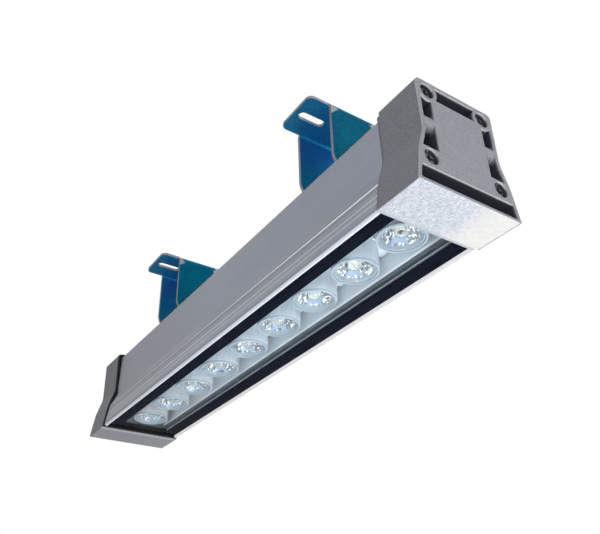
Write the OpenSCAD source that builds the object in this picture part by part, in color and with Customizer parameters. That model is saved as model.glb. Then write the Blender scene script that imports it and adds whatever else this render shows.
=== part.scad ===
/* [Lamp] */
// Length of the lamp over both end caps
lamp_l = 300; // [250:1:400]
// Width of the end caps across the light face
cap_w = 49; // [46:0.5:60]
// Height of the end caps, from the light face to the back
cap_h = 49; // [48:0.5:60]
// How far the lamp is slid along its clips from the middle
lamp_shift = 3.6; // [0:0.1:6]

/* [End caps] */
// Length of each end cap along the lamp
cap_l = 20.6; // [18:0.1:26]
// Wall left round the pockets in the end face
cap_wall = 1.3; // [1:0.1:1.8]
// Depth of the pockets in the end face
pocket_depth = 14; // [8:0.5:15]
// Height of the narrow waist above the light face
waist_h = 24.5; // [23:0.5:27]
// Height of the knee where the sides start to narrow
knee_h = 14.3; // [13:0.1:16]
// How far the waist stands in from the edge of the light face
waist_inset = 5.5; // [4.5:0.1:6]
// How far the knee stands in from the edge of the light face
knee_inset = 2.3; // [1.8:0.1:3]
// How far the back edges stand in from the edge of the light face
back_inset = 5.1; // [4.5:0.1:6]
// Thickness of the sealing gasket behind each end cap
gasket_t = 2; // [1:0.1:3]

/* [Housing] */
// How far the end caps stand proud of the housing at the light face
face_proud = 0.9; // [0.6:0.1:1.5]
// How far the end caps stand proud of the housing at the waist
waist_proud = 1; // [0.7:0.1:1.5]
// How far the end caps stand proud of the housing's back corners
corner_proud = 1.8; // [1:0.1:2]
// How far the end caps rise above the housing's back
back_proud = 2.6; // [2:0.1:3]
// Thickness of the side walls along the light channel and the driver bay
side_wall = 3.4; // [3.2:0.1:4]
// Thickness of the web between the light channel and the driver bay
web_t = 1.8; // [1.5:0.1:2.5]

/* [Window] */
// Thickness of the front glass
glass_t = 3; // [2.5:0.1:3.5]
// How far the glass lies in from the lips of the housing
glass_sink = 1.2; // [0.8:0.1:1.6]
// Thickness of the sealing strip behind the glass
seal_t = 0.5; // [0.3:0.1:1]

/* [Lenses] */
// Outer diameter of a lens holder
holder_d = 20.2; // [16:0.1:21]
// Height of a lens holder above the LED board
holder_h = 11.5; // [11:0.1:12.5]
// Distance from the lamp's end to the centre of the outermost lens
lens_margin = 35.6; // [34:0.1:38]

/* [Brackets] */
// Distance between the centres of the two brackets
bracket_spacing = 152.5; // [130:0.5:160]
// Width of a bracket along the lamp, over its legs
bracket_w = 26.4; // [24:0.1:32]
// Width of a bracket's ears along the lamp
ear_w = 23.6; // [20:0.1:24]
// Width of a bracket's legs across the lamp
leg_w = 25.8; // [22:0.2:26]
// Length of a bracket's top plate across the lamp, ear to ear
ear_span = 47; // [44:0.5:56]
// Thickness of the bracket's sheet
sheet_t = 1.5; // [1.2:0.1:2.5]
// Height of the mounting face above the tilt pivot
pivot_drop = 27.4; // [26:0.1:34]
// Height of the tilt pivot above the housing's back
pivot_rise = 13.6; // [13.2:0.1:16]
// Radius of the pivot bolts
bolt_r = 3; // [2.5:0.1:3.5]
// Width of the fixing slots in the ears
slot_w = 4.4; // [4.2:0.1:6]
// Length of the fixing slots from end to end
slot_l = 13.4; // [10:0.1:15]
// Distance between the centres of the two slots of a bracket
slot_spacing = 28.6; // [28:0.1:32]

/* [Cable gland] */
// Hole through the gland's seal, for a round cable
cable_d = 6.4; // [5:0.1:7]
// Thread diameter of the gland
gland_thread_d = 12; // [11:0.5:13]

/* [Hidden] */
$fn = 48;
led_count = 9;

// General: overrun of every cut, steps of a rounded corner, running and seating clearances
cut = 0.5;
arc_steps = 6;
run_gap = 0.05;
face_gap = 0.1;
bend_r = 1.2;

// Outline of the end caps
face_r = 0.6;
knee_r = 16;
waist_r = 14;
back_r = 2;
pocket_r = 0.7;
chamber_wall = 1.4;

// Features of the end face, as heights above the light face and widths across it
plateau_w = 25.2;
plateau_margin = 7.8;
band_low_h = 7.5;
band_high_h = 16.2;
bridge_h = 29.5;
bridge_t = 6.4;
top_pocket_w = 20.6;
boss_r = 4.7;
plateau_t = 3;

// Screws that hold the end caps
low_screw_inset = 7.6;
low_screw_h = 12.3;
high_screw_inset = 5.4;
high_screw_drop = 4.7;
screw_r = 1.45;
screw_head_r = 3.1;
screw_head_h = 2.2;
screw_hole_r = 1.8;
counterbore_r = 3.4;
counterbore_depth = 3.6;
screw_l = 30;

// Proportions of a cross-head screw's head
cross_share = 1.25;
cross_width_share = 0.24;
head_round_share = 0.45;

// Housing outline: flat side, flared strip, lower band with fine grooves, lip
housing_l = lamp_l - 2 * (cap_l + gasket_t);
housing_h = cap_h - back_proud;
half_face = cap_w / 2 - face_proud;
half_waist = cap_w / 2 - waist_inset - waist_proud;
half_back = cap_w / 2 - back_inset - corner_proud;
housing_corner_r = 1.2;
lip_h = 0.5;
lip_w = 0.8;
lip_chamfer_w = 0.8;
lip_chamfer_h = 1.1;
flat_low_h = 21.2;
ridge_h = 15;
ridge_flare = 2.8;
shadow_depth = 0.5;
shadow_w = 0.6;
band_top_h = 13.8;
band_top_inset = 2.1;
groove_first_drop = 4.8;
groove_pitch = 3.5;
groove_count = 3;
groove_w = 0.5;
groove_depth = 0.3;

// Inside of the housing, from the light face inwards
recess_half = half_face - lip_chamfer_w - lip_w;
seat_h = lip_h + glass_sink + glass_t + seal_t;
ledge_t = 3.7;
ledge_step = 0.5;
channel_half = half_waist - side_wall;
ledge_half = channel_half - ledge_step;
board_t = 1.6;
lens_clear = 0.8;
holder_front_h = seat_h - seal_t + lens_clear;
board_face_h = holder_front_h + holder_h;
web_low_h = board_face_h + board_t;
bay_low_h = web_low_h + web_t;
slot_lip_t = 1.7;
slot_cavity_h = 3.4;
slot_floor_t = 1.4;
slot_half = 3.2;
slot_cavity_half = 6;
bay_high_h = housing_h - slot_lip_t - slot_cavity_h - slot_floor_t;
core_hole_w = 3.2;
core_hole_h = 3;
rib_in = 1.6;
rib_t = 1.5;
rib_low_h = 1.1;
driver_board_t = 1.6;
groove_clear = 0.15;

// Glass, seal and gasket
glass_gap = 0.3;
seal_w = 5.5;
seal_end_w = 1.2;
gasket_inset = 0.8;

// LED board and its screws
board_end_gap = 3;
board_side_gap = 0.4;
board_screw_r = 1.25;
board_head_r = 2.7;
board_head_h = 1.7;
board_hole_r = 1.6;
board_screw_out = 1;
board_screw_gaps = [1, 3, 6, 8];

// LEDs, lenses and holders
lens_pitch = (lamp_l - 2 * lens_margin) / (led_count - 1);
led_w = 3.45;
led_base_h = 0.7;
led_dome_r = 1.3;
holder_wall = 1.6;
holder_rim = 1.05;
holder_chamfer = 0.3;
lens_sink = 0.4;
lens_fit = 0.05;
flange_t = 1.2;
lens_rear_r = 3.9;
lens_rear_gap = 1.7;
lens_cup_r = 2.6;
lens_cup_h = 3;
lens_cup_dome = 1;
dimple_r = 3.6;
dimple_depth = 3.2;
dimple_dome = 1.8;
// Curve of the bowl's side, where 1 is a straight cone
bowl_power = 0.75;
cone_steps = 8;
dome_steps = 6;

// Driver board in its grooves, and the parts on it
driver_l = 150;
driver_y = 15;
driver_side_gap = 0.4;
driver_h = bay_low_h + rib_low_h + rib_t + groove_clear;
parts_h = driver_h + driver_board_t;
core_size = [15, 18, 3];
core_gap = 6.6;
winding_r = 5.2;
bobbin_r = 6.2;
bobbin_flange_t = 0.8;
transformer_y = 10;
cap_can_r = 5;
cap_can_l = 18;
cap_can_small_r = 4;
cap_can_small_l = 13;
cap_can_y = -28;
cap_can_x = 6;
film_size = [7, 14, 11];
film_y = 39;
chip_size = [12, 4, 9];
chip_y = 54;
chip_leg_r = 0.4;
chip_leg_count = 4;
chip_leg_pitch = 2.5;
chip_leg_h = 2.2;
fuse_r = 2.4;
fuse_l = 12;
terminal_size = [15, 9, 10];
terminal_end_gap = 4;
terminal_hole_r = 1.5;
terminal_pitch = 5;
terminal_ways = 3;

// Leads from the driver down to the LED board
lead_r = 0.8;
lead_half = 2.5;
lead_bend_r = 1.8;
lead_hole_r = 1.25;
lead_pad_l = 2.5;
lead_lift = 0.2;
lead_run_end = 6;
lead_gap_index = 2;

// Cable gland on the far end cap
gland_hex = 15;
gland_flange_t = 4;
gland_out_l = 8;
gland_out_r = 5.8;
gland_in_l = 9;
gland_bore_r = 3.8;
gland_seal_r = 4.4;
gland_seal_l = 8.2;
gland_seal_depth = 7;
gland_tip_l = 0.8;
gland_nut_hex_l = 7.2;
gland_nut_gap = 0.5;
gland_lip_t = 1.8;
gland_lip_r = 3.7;
locknut_t = 4;

// Brackets, clips and pivot hardware
leg_swing_gap = 0.5;
leg_sweep = pivot_rise - leg_swing_gap;
ear_r = 3;
weld = 0.2;
clip_half = 10;
clip_top_r = 5.7;
clip_screw_r = 2.5;
clip_head_r = 4.5;
clip_head_h = 3.2;
slot_nut_w = 11.4;
slot_nut_l = 10;
slot_nut_t = 3;
washer_r = 5.5;
friction_t = 0.9;
washer_t = 1.2;
spring_t = 1.6;
spring_r = 5.4;
spring_slit_angle = 12;
nut_hex = 10;
nut_t = 5;
head_t = 4;
bolt_tail = 1.8;

// Places in the mounting frame
face_z = -(pivot_drop + pivot_rise + housing_h);
back_z = face_z + housing_h;
pivot_z = -pivot_drop;
leg_in = bracket_w / 2 - sheet_t;
clip_out = leg_in - friction_t - face_gap;
low_screw_x = cap_w / 2 - low_screw_inset;
high_screw_x = cap_w / 2 - back_inset - high_screw_inset;
high_screw_h = cap_h - high_screw_drop;
gland_h = (bay_low_h + bay_high_h) / 2;

function unit(v) = v / norm(v);

function lens_y(i) = -lamp_l / 2 + lens_margin + (i - 1) * lens_pitch;

function gap_y(i) = lens_y(i) + lens_pitch / 2;

// One corner of an outline, turned into an arc of radius r
function corner_arc(a, p, b, r) =
    let (u = unit(a - p), v = unit(b - p), half = acos(u * v) / 2)
    let (c = p + unit(u + v) * r / sin(half), t = r / tan(half))
    let (s = p + u * t - c, e = p + v * t - c)
    let (start = atan2(s[1], s[0]), turn = atan2(e[1], e[0]) - start)
    let (sweep = turn > 180 ? turn - 360 : turn < -180 ? turn + 360 : turn)
    [for (k = [0:arc_steps]) c + r * [cos(start + sweep * k / arc_steps), sin(start + sweep * k / arc_steps)]];

// An outline whose corners have the given radii, where 0 keeps a corner sharp
function rounded(points, radii) =
    let (n = len(points))
    [for (i = [0:n - 1])
        each (radii[i] > 0
            ? corner_arc(points[(i + n - 1) % n], points[i], points[(i + 1) % n], radii[i])
            : [points[i]])];

// The right-hand side of an outline, joined to its mirror image
function both_sides(points) =
    concat(points, [for (i = [len(points) - 1:-1:0]) [-points[i][0], points[i][1]]]);

function both_radii(radii) = concat(radii, [for (i = [len(radii) - 1:-1:0]) radii[i]]);

function cap_side(inset) = [
    [cap_w / 2 - inset, inset],
    [cap_w / 2 - knee_inset - inset, knee_h],
    [cap_w / 2 - waist_inset - inset, waist_h],
    [cap_w / 2 - back_inset - inset, cap_h - inset]];

function band_x(h) =
    let (low = lip_h + lip_chamfer_h)
    half_face - band_top_inset * (h - low) / (band_top_h - low);

function groove(h) = [
    [band_x(h - groove_w / 2), h - groove_w / 2],
    [band_x(h) - groove_depth, h],
    [band_x(h + groove_w / 2), h + groove_w / 2]];

function ellipse_arc(rx, top, height, from, to) = [
    for (k = [0:dome_steps])
        let (a = from + (to - from) * k / dome_steps)
        [rx * cos(a), top + height * sin(a)]];

module cap_outline(inset, low_r, high_r) {
    polygon(rounded(both_sides(cap_side(inset)), both_radii([low_r, knee_r, waist_r, high_r])));
}

module slab(x, low, high) {
    translate([-x, low])
        square([2 * x, high - low]);
}

module in_lamp() {
    translate([0, lamp_shift, face_z])
        children();
}

// Draws in the plane of an end face: x across, y up from the light face, z into the lamp
module at_end(side) {
    translate([0, side * lamp_l / 2, 0])
        rotate([90, 0, side > 0 ? 0 : 180])
            children();
}

// Draws a section across the lamp and runs it along the lamp, centred
module along(length) {
    translate([0, length / 2, 0])
        rotate([90, 0, 0])
            linear_extrude(length)
                children();
}

module at_cap_screws() {
    for (s = [-1, 1]) {
        translate([s * low_screw_x, low_screw_h, 0])
            children();
        translate([s * high_screw_x, high_screw_h, 0])
            children();
    }
}

module cap_side_pocket(s) {
    reach = cap_w / 2;
    difference() {
        translate([0, 0, -cut])
            linear_extrude(pocket_depth + cut)
                intersection() {
                    cap_outline(cap_wall, pocket_r, pocket_r);
                    translate([s > 0 ? plateau_w / 2 : -reach, band_high_h])
                        square([reach - plateau_w / 2, cap_h - plateau_margin - band_high_h]);
                }
        translate([s > 0 ? 0 : -reach, bridge_h, bridge_t / 2])
            rotate([0, 90, 0])
                cylinder(h = reach, r = bridge_t / 2);
        translate([s > 0 ? 0 : -reach, bridge_h - bridge_t / 2, bridge_t / 2])
            cube([reach, bridge_t, pocket_depth + cut]);
        translate([s * high_screw_x, high_screw_h, -2 * cut])
            cylinder(h = pocket_depth + 4 * cut, r = boss_r);
    }
}

module cap_end_pockets() {
    top_low = cap_h - plateau_margin;
    translate([0, 0, -cut])
        linear_extrude(pocket_depth + cut) {
            intersection() {
                cap_outline(cap_wall, pocket_r, pocket_r);
                slab(cap_w / 2, 0, band_low_h);
            }
            difference() {
                slab(top_pocket_w / 2, top_low, cap_h - cap_wall);
                for (s = [-1, 1])
                    translate([s * high_screw_x, high_screw_h])
                        circle(boss_r);
            }
        }
    for (s = [-1, 1])
        cap_side_pocket(s);
}

module cap_body() {
    difference() {
        linear_extrude(cap_l)
            cap_outline(0, face_r, back_r);
        cap_end_pockets();
        at_cap_screws() {
            translate([0, 0, -cut])
                cylinder(h = counterbore_depth + cut, r = counterbore_r);
            cylinder(h = cap_l + cut, r = screw_hole_r);
        }
        translate([0, 0, plateau_t])
            linear_extrude(cap_l)
                slab(plateau_w / 2 - chamber_wall, bay_low_h, cap_h - plateau_margin - chamber_wall);
    }
}

module end_cap_near() {
    color("dimgray")
        in_lamp()
            at_end(-1)
                cap_body();
}

module end_cap_far() {
    color("dimgray")
        in_lamp()
            at_end(1)
                difference() {
                    cap_body();
                    translate([0, gland_h, -cut])
                        cylinder(h = plateau_t + 2 * cut, r = gland_thread_d / 2 + run_gap);
                }
}

module gasket(side) {
    color([0.06, 0.06, 0.06])
        in_lamp()
            at_end(side)
                translate([0, 0, cap_l])
                    difference() {
                        linear_extrude(gasket_t)
                            difference() {
                                cap_outline(gasket_inset, face_r, back_r);
                                slab(ledge_half, bay_low_h, bay_high_h);
                            }
                        at_cap_screws()
                            translate([0, 0, -cut])
                                cylinder(h = gasket_t + 2 * cut, r = screw_hole_r);
                    }
}

// A cross-head pan screw whose head's top is at 0 and whose shank runs up +Z
module pan_screw(head_r, head_h, shank_r, length) {
    cross_l = head_r * cross_share;
    cross_w = cross_l * cross_width_share;
    difference() {
        rotate_extrude()
            polygon(rounded([[0, 0], [head_r, 0], [head_r, head_h], [0, head_h]],
                            [0, head_h * head_round_share, 0, 0]));
        for (a = [0, 90])
            rotate([0, 0, a])
                translate([-cross_l / 2, -cross_w / 2, -cut])
                    cube([cross_l, cross_w, head_h / 2 + cut]);
    }
    translate([0, 0, head_h / 2])
        cylinder(h = head_h / 2 + length, r = shank_r);
}

module cap_screws(side) {
    color([0.22, 0.22, 0.23])
        in_lamp()
            at_end(side)
                at_cap_screws()
                    translate([0, 0, counterbore_depth - screw_head_h])
                        pan_screw(screw_head_r, screw_head_h, screw_r, screw_l);
}

module housing_outline() {
    polygon(both_sides(concat(
        [[half_face - lip_chamfer_w, lip_h], [half_face, lip_h + lip_chamfer_h]],
        [for (k = [groove_count - 1:-1:0]) each groove(band_top_h - groove_first_drop - k * groove_pitch)],
        [[half_face - band_top_inset, band_top_h],
         [half_waist + ridge_flare - shadow_depth, ridge_h - shadow_w],
         [half_waist + ridge_flare, ridge_h],
         [half_waist, flat_low_h]],
        corner_arc([half_waist, flat_low_h], [half_back, housing_h], [0, housing_h], housing_corner_r))));
}

module housing_hollows() {
    slab(recess_half, lip_h - cut, seat_h);
    slab(ledge_half, seat_h - cut, seat_h + ledge_t + cut);
    slab(channel_half, seat_h + ledge_t, web_low_h);
    difference() {
        slab(channel_half, bay_low_h, bay_high_h);
        for (s = [-1, 1])
            for (h = [driver_h - groove_clear - rib_t, driver_h + driver_board_t + groove_clear])
                translate([s * (channel_half - rib_in / 2), h + rib_t / 2])
                    square([rib_in, rib_t], center = true);
    }
    slab(slot_half, housing_h - slot_lip_t - cut, housing_h + cut);
    slab(slot_cavity_half, housing_h - slot_lip_t - slot_cavity_h, housing_h - slot_lip_t);
    for (s = [-1, 1]) {
        translate([s * (slot_cavity_half + high_screw_x - screw_hole_r) / 2, high_screw_h - core_hole_h / 2])
            square([core_hole_w, core_hole_h], center = true);
        translate([s * low_screw_x, low_screw_h])
            circle(screw_r + run_gap);
        translate([s * high_screw_x, high_screw_h])
            circle(screw_r + run_gap);
    }
}

module at_board_screws() {
    for (i = board_screw_gaps)
        translate([0, gap_y(i), 0])
            children();
}

module at_leads() {
    for (s = [-1, 1])
        translate([s * lead_half, gap_y(lead_gap_index), 0])
            children();
}

module housing_profile() {
    color([0.53, 0.54, 0.56])
        in_lamp()
            difference() {
                along(housing_l)
                    difference() {
                        housing_outline();
                        housing_hollows();
                    }
                translate([0, 0, web_low_h - cut]) {
                    at_board_screws()
                        cylinder(h = web_t + 2 * cut, r = board_screw_r + run_gap);
                    at_leads()
                        cylinder(h = web_t + 2 * cut, r = lead_hole_r);
                }
            }
}

module front_glass() {
    color([0.75, 0.85, 0.9, 0.4])
        in_lamp()
            along(housing_l - 2 * glass_gap)
                slab(recess_half - glass_gap, lip_h + glass_sink, lip_h + glass_sink + glass_t);
}

module glass_seal() {
    low = seat_h - seal_t;
    color([0.1, 0.1, 0.1])
        in_lamp()
            difference() {
                along(housing_l - 2 * glass_gap)
                    slab(recess_half - glass_gap, low, seat_h);
                along(housing_l - 2 * glass_gap - 2 * seal_end_w)
                    slab(recess_half - glass_gap - seal_w, low - cut, seat_h + cut);
            }
}

module led_board() {
    half = channel_half - board_side_gap;
    color([0.9, 0.92, 0.95])
        in_lamp()
            difference() {
                along(housing_l - 2 * board_end_gap)
                    slab(half, board_face_h, web_low_h);
                translate([0, 0, board_face_h - cut]) {
                    at_board_screws()
                        cylinder(h = board_t + 2 * cut, r = board_hole_r);
                    at_leads()
                        cylinder(h = board_t + 2 * cut, r = lead_hole_r);
                }
            }
}

module board_screws() {
    color("silver")
        in_lamp()
            at_board_screws()
                translate([0, 0, board_face_h - board_head_h])
                    pan_screw(board_head_r, board_head_h, board_screw_r, board_t + web_t + board_screw_out);
}

module led(i) {
    color([0.95, 0.85, 0.3])
        in_lamp()
            translate([0, lens_y(i), board_face_h - led_base_h]) {
                translate([-led_w / 2, -led_w / 2, 0])
                    cube([led_w, led_w, led_base_h]);
                intersection() {
                    sphere(led_dome_r);
                    translate([-led_w / 2, -led_w / 2, -led_w])
                        cube([led_w, led_w, led_w + led_base_h / 2]);
                }
            }
}

// A clear lens that turns the light by reflection inside its bowl, front face at 0
module lens(i) {
    rim_r = holder_d / 2 - holder_rim - lens_fit;
    bowl_r = holder_d / 2 - holder_wall - lens_fit;
    rear_h = holder_h - lens_sink - lens_rear_gap;
    bowl = [for (k = [0:cone_steps])
        let (t = k / cone_steps)
        [lens_rear_r + (bowl_r - lens_rear_r) * pow(1 - t, bowl_power), flange_t + (rear_h - flange_t) * t]];
    color([0.85, 0.93, 1, 0.5])
        in_lamp()
            translate([0, lens_y(i), holder_front_h + lens_sink])
                rotate_extrude()
                    polygon(concat(
                        ellipse_arc(dimple_r, dimple_depth, -dimple_dome, 90, 0),
                        [[dimple_r, 0], [rim_r, 0], [rim_r, flange_t]],
                        bowl,
                        [[lens_cup_r, rear_h]],
                        ellipse_arc(lens_cup_r, rear_h - lens_cup_h, -lens_cup_dome, 0, 90)));
}

module lens_holder(i) {
    out = holder_d / 2;
    shoulder = lens_sink + flange_t;
    color([0.8, 0.88, 0.95, 0.6])
        in_lamp()
            translate([0, lens_y(i), holder_front_h])
                rotate_extrude()
                    polygon([
                        [out - holder_rim, 0],
                        [out - holder_chamfer, 0],
                        [out, holder_chamfer],
                        [out, holder_h],
                        [out - holder_wall, holder_h],
                        [out - holder_wall, shoulder],
                        [out - holder_rim, shoulder]]);
}

module on_driver(x, y) {
    in_lamp()
        translate([x, driver_y + y, parts_h])
            children();
}

module driver_board() {
    color([0.12, 0.35, 0.2])
        in_lamp()
            translate([0, driver_y, 0])
                along(driver_l)
                    slab(channel_half - driver_side_gap, driver_h, parts_h);
}

module driver_transformer() {
    mid = core_size[2] + core_gap / 2;
    color([0.25, 0.25, 0.27])
        on_driver(0, transformer_y) {
            for (h = [0, core_size[2] + core_gap])
                translate([-core_size[0] / 2, -core_size[1] / 2, h])
                    cube(core_size);
            translate([-core_size[0] / 2, -core_size[1] / 2, core_size[2]])
                cube([core_size[0], core_size[2], core_gap]);
            translate([-core_size[0] / 2, core_size[1] / 2 - core_size[2], core_size[2]])
                cube([core_size[0], core_size[2], core_gap]);
            translate([0, 0, core_size[2]])
                cylinder(h = core_gap, r = winding_r);
            for (h = [core_size[2], core_size[2] + core_gap - bobbin_flange_t])
                translate([0, 0, h])
                    cylinder(h = bobbin_flange_t, r = bobbin_r);
        }
}

module can(radius, length) {
    translate([0, length / 2, radius])
        rotate([90, 0, 0])
            cylinder(h = length, r = radius);
}

module driver_capacitors() {
    color([0.15, 0.2, 0.35]) {
        on_driver(-cap_can_x, cap_can_y)
            can(cap_can_r, cap_can_l);
        on_driver(cap_can_x, cap_can_y)
            can(cap_can_small_r, cap_can_small_l);
        on_driver(cap_can_x, film_y)
            translate([-film_size[0] / 2, -film_size[1] / 2, 0])
                cube(film_size);
    }
}

module driver_rectifier() {
    color([0.1, 0.1, 0.1]) {
        on_driver(0, chip_y) {
            translate([-chip_size[0] / 2, -chip_size[1] / 2, chip_leg_h])
                cube([chip_size[0], chip_size[1], chip_size[2] - chip_leg_h]);
            for (k = [0:chip_leg_count - 1])
                translate([(k - (chip_leg_count - 1) / 2) * chip_leg_pitch, 0, 0])
                    cylinder(h = chip_leg_h, r = chip_leg_r);
        }
        on_driver(-cap_can_x, film_y)
            can(fuse_r, fuse_l);
    }
}

module driver_terminal() {
    color([0.1, 0.5, 0.25])
        on_driver(0, driver_l / 2 - terminal_end_gap - terminal_size[1] / 2)
            difference() {
                translate([-terminal_size[0] / 2, -terminal_size[1] / 2, 0])
                    cube(terminal_size);
                for (k = [0:terminal_ways - 1])
                    translate([(k - (terminal_ways - 1) / 2) * terminal_pitch, 0, 0]) {
                        translate([0, terminal_size[1] / 2 + cut, terminal_size[2] / 3])
                            rotate([90, 0, 0])
                                cylinder(h = terminal_size[1] / 2, r = terminal_hole_r);
                        translate([0, 0, terminal_size[2] * 2 / 3])
                            cylinder(h = terminal_size[2], r = terminal_hole_r);
                    }
            }
}

module quarter_bend() {
    translate([-lead_bend_r, 0, 0])
        rotate_extrude(angle = 90)
            translate([lead_bend_r, 0])
                circle(lead_r);
}

// One lead: off the driver board's end, down through the web, and onto the LED board
module lead(s) {
    hole_y = gap_y(lead_gap_index);
    run_z = parts_h + lead_r;
    pad_z = board_face_h - lead_r - lead_lift;
    start_y = driver_y - driver_l / 2 + lead_run_end;
    in_lamp()
        translate([s * lead_half, 0, 0]) {
            translate([0, hole_y + lead_bend_r, run_z])
                rotate([-90, 0, 0])
                    cylinder(h = start_y - hole_y - lead_bend_r, r = lead_r);
            translate([0, hole_y, run_z - lead_bend_r])
                rotate([90, 0, 90])
                    mirror([1, 0, 0])
                        quarter_bend();
            translate([0, hole_y, pad_z + lead_bend_r])
                cylinder(h = run_z - pad_z - 2 * lead_bend_r, r = lead_r);
            translate([0, hole_y, pad_z + lead_bend_r])
                rotate([-90, 0, s > 0 ? 180 : 0])
                    quarter_bend();
            translate([s * lead_bend_r, hole_y, pad_z])
                rotate([0, s * 90, 0])
                    cylinder(h = lead_pad_l, r = lead_r);
        }
}

module lead_positive() {
    color("red")
        lead(1);
}

module lead_negative() {
    color([0.12, 0.12, 0.12])
        lead(-1);
}

// Draws on the far end face: z runs out of the lamp
module at_gland() {
    in_lamp()
        translate([0, lamp_l / 2, gland_h])
            rotate([-90, 0, 0])
                children();
}

module hex(flats, height) {
    cylinder(h = height, d = flats / cos(30), $fn = 6);
}

module gland_body() {
    color([0.12, 0.12, 0.12])
        at_gland()
            difference() {
                union() {
                    hex(gland_hex, gland_flange_t);
                    cylinder(h = gland_flange_t + gland_out_l, r = gland_out_r);
                    translate([0, 0, -gland_in_l])
                        cylinder(h = gland_in_l + gland_flange_t / 2, r = gland_thread_d / 2);
                }
                translate([0, 0, -gland_in_l - cut])
                    cylinder(h = gland_in_l + gland_flange_t + gland_out_l + 2 * cut, r = gland_bore_r);
                translate([0, 0, gland_flange_t + gland_out_l - gland_seal_depth])
                    cylinder(h = gland_seal_depth + cut, r = gland_seal_r + run_gap);
            }
}

module gland_seal() {
    start = gland_flange_t + gland_out_l - gland_seal_depth;
    color([0.05, 0.05, 0.05])
        at_gland()
            translate([0, 0, start])
                difference() {
                    union() {
                        cylinder(h = gland_seal_l, r = gland_seal_r);
                        translate([0, 0, -gland_tip_l])
                            cylinder(h = 2 * gland_tip_l, r = gland_bore_r - run_gap);
                    }
                    translate([0, 0, -gland_tip_l - cut])
                        cylinder(h = gland_seal_l + gland_tip_l + 2 * cut, r = cable_d / 2);
                }
}

module gland_nut() {
    start = gland_flange_t + gland_nut_gap;
    inside = gland_flange_t + gland_out_l - gland_seal_depth + gland_seal_l - start;
    color([0.12, 0.12, 0.12])
        at_gland()
            translate([0, 0, start])
                difference() {
                    union() {
                        hex(gland_hex, gland_nut_hex_l);
                        cylinder(h = inside, r = gland_hex / 2);
                        translate([0, 0, inside])
                            cylinder(h = gland_lip_t, r1 = gland_hex / 2, r2 = gland_hex / 2 - gland_lip_t);
                    }
                    translate([0, 0, -cut])
                        cylinder(h = inside + cut, r = gland_out_r + run_gap);
                    cylinder(h = inside + gland_lip_t + cut, r = gland_lip_r);
                }
}

module gland_locknut() {
    color([0.12, 0.12, 0.12])
        at_gland()
            translate([0, 0, -plateau_t - locknut_t])
                difference() {
                    hex(gland_hex, locknut_t);
                    translate([0, 0, -cut])
                        cylinder(h = locknut_t + 2 * cut, r = gland_thread_d / 2 + run_gap);
                }
}

// A sheet-metal channel open downwards: its top is at z 0, its legs reach down to the given depth
module channel_section(width, depth) {
    out = width / 2;
    inner = out - sheet_t;
    difference() {
        polygon(rounded([[-out, -depth], [out, -depth], [out, 0], [-out, 0]],
                        [0, 0, bend_r + sheet_t, bend_r + sheet_t]));
        polygon(rounded([[-inner, -depth - cut], [inner, -depth - cut], [inner, -sheet_t], [-inner, -sheet_t]],
                        [0, 0, bend_r, bend_r]));
    }
}

// Runs a section, drawn along the lamp, across the lamp
module across(width) {
    translate([-width / 2, 0, 0])
        rotate([90, 0, 90])
            linear_extrude(width)
                children();
}

module ear_slot() {
    straight = slot_l - slot_w;
    square([straight, slot_w], center = true);
    for (s = [-1, 1])
        translate([s * straight / 2, 0])
            circle(slot_w / 2);
}

module ear(s) {
    outer = s * ear_span / 2;
    inner = s * (leg_w / 2 - weld);
    half = ear_w / 2;
    translate([0, 0, -sheet_t])
        linear_extrude(sheet_t)
            polygon(rounded([[inner, -half], [outer, -half], [outer, half], [inner, half]],
                            [0, ear_r, ear_r, 0]));
}

module bracket() {
    depth = pivot_drop + leg_sweep;
    difference() {
        union() {
            intersection() {
                across(leg_w)
                    channel_section(bracket_w, depth);
                translate([0, bracket_w, 0])
                    rotate([90, 0, 0])
                        linear_extrude(2 * bracket_w) {
                            slab(leg_w / 2, -pivot_drop, cut);
                            translate([0, -pivot_drop])
                                circle(leg_sweep);
                        }
            }
            for (s = [-1, 1])
                ear(s);
        }
        translate([0, bracket_w, pivot_z])
            rotate([90, 0, 0])
                cylinder(h = 2 * bracket_w, r = bolt_r + run_gap);
        for (s = [-1, 1])
            translate([s * slot_spacing / 2, 0, -sheet_t - cut])
                linear_extrude(sheet_t + 2 * cut)
                    ear_slot();
    }
}

module bracket_near() {
    color([0.05, 0.35, 0.55])
        translate([0, -bracket_spacing / 2, 0])
            bracket();
}

module bracket_far() {
    color([0.05, 0.35, 0.55])
        translate([0, bracket_spacing / 2, 0])
            bracket();
}

// Outline of a clip's leg: it tapers from the base to a round top at the given height
module clip_leg(rise) {
    foot = [clip_half, sheet_t + bend_r];
    reach = foot - [0, rise];
    turn = atan2(reach[1], reach[0]) + acos(clip_top_r / norm(reach));
    touch = [clip_top_r * cos(turn), rise + clip_top_r * sin(turn)];
    polygon([[-foot[0], -cut], [foot[0], -cut], foot, touch, [-touch[0], touch[1]], [-foot[0], foot[1]]]);
    translate([0, rise])
        circle(clip_top_r);
}

// The lower clip: a channel open upwards that stands on the housing's back
module clip() {
    base_z = back_z + face_gap;
    rise = pivot_z - base_z;
    difference() {
        intersection() {
            translate([0, 0, base_z])
                mirror([0, 0, 1])
                    across(2 * clip_half)
                        channel_section(2 * clip_out, rise + clip_top_r);
            translate([0, clip_out + cut, base_z])
                rotate([90, 0, 0])
                    linear_extrude(2 * (clip_out + cut))
                        clip_leg(rise);
        }
        translate([0, clip_out + cut, pivot_z])
            rotate([90, 0, 0])
                cylinder(h = 2 * (clip_out + cut), r = bolt_r + run_gap);
        translate([0, 0, base_z - cut])
            cylinder(h = sheet_t + 2 * cut, r = clip_screw_r + run_gap);
    }
}

module clip_near() {
    color([0.7, 0.71, 0.73])
        translate([0, -bracket_spacing / 2, 0])
            clip();
}

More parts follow.
